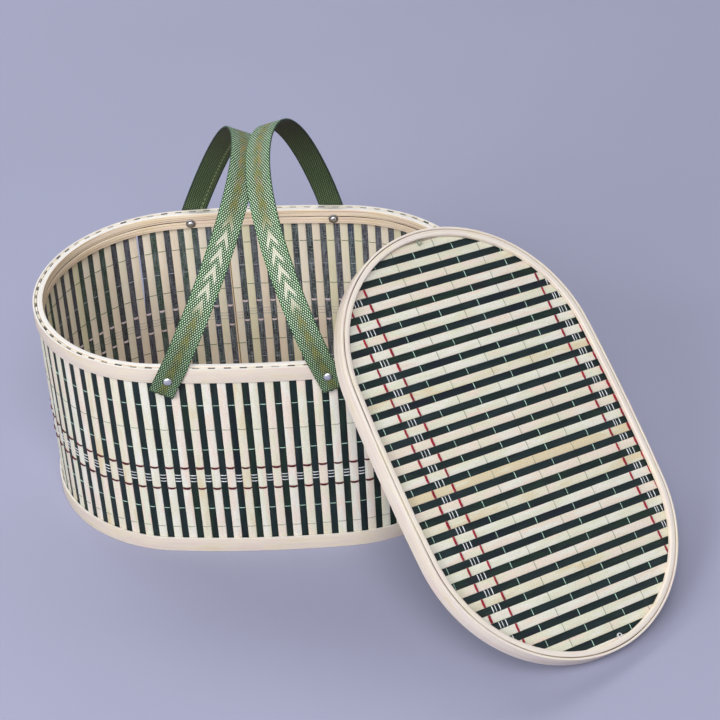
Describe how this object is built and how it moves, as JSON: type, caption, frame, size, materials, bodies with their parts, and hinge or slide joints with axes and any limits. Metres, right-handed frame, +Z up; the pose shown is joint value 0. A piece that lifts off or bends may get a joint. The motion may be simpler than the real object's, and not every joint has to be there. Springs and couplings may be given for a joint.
{
  "type": "handled basket",
  "caption": "Oval bamboo-slat basket with bent wood bands, two riveted webbing handles that cross at the top, and a loose slatted lid leaning on its rim.",
  "frame": {"origin": "middle of the basket's underside, on the floor it stands on", "axes": "+X along the basket's length, towards its right end when seen from the front; -Y is the front, where the lid leans; +Z up"},
  "size_m": [0.466, 0.3759, 0.2923],
  "materials": {
    "slat_bamboo": "dry split bamboo, cream and dark green slats in turn",
    "pale_bamboo": "pale planed bamboo with fine grain, unvarnished",
    "inner_bamboo": "planed bamboo, slightly darker",
    "board": "thin plywood",
    "webbing": "woven green webbing with pale chevrons",
    "steel": "plated steel, domed"
  },
  "bodies": {
    "basket": {"wall_slat_mat": "slat_bamboo", "top_outer_band": "pale_bamboo", "rim_inner_strip_upper": "inner_bamboo", "rim_inner_strip_lower": "inner_bamboo", "bottom_outer_band": "pale_bamboo", "bottom_inner_strip": "inner_bamboo", "base_panel": "board", "left_front_rivet": "steel", "left_front_washer": "steel", "left_back_rivet": "steel", "left_back_washer": "steel", "right_front_rivet": "steel", "right_front_washer": "steel", "right_back_rivet": "steel", "right_back_washer": "steel"},
    "left_handle": {"left_handle_strap": "webbing"},
    "right_handle": {"right_handle_strap": "webbing"},
    "lid": {"lid_outer_band": "pale_bamboo", "lid_upper_ring": "pale_bamboo", "lid_lower_ring": "inner_bamboo", "lid_slat_mat": "slat_bamboo"}
  },
  "joints": [
    {"name": "left_handle_swing", "type": "hinge", "parent": "basket", "child": "left_handle", "pos_m": [-0.0562, 0, 0.1587], "axis": [0, 1, 0], "range_deg": [-130, 0]},
    {"name": "right_handle_swing", "type": "hinge", "parent": "basket", "child": "right_handle", "pos_m": [0.0562, 0, 0.1587], "axis": [0, 1, 0], "range_deg": [0, 6]},
    {"name": "lid_lift", "type": "slide", "parent": "basket", "child": "lid", "axis": [0.4417, -0.4558, 0.7727], "range_m": [0, 0.15]}
  ]
}
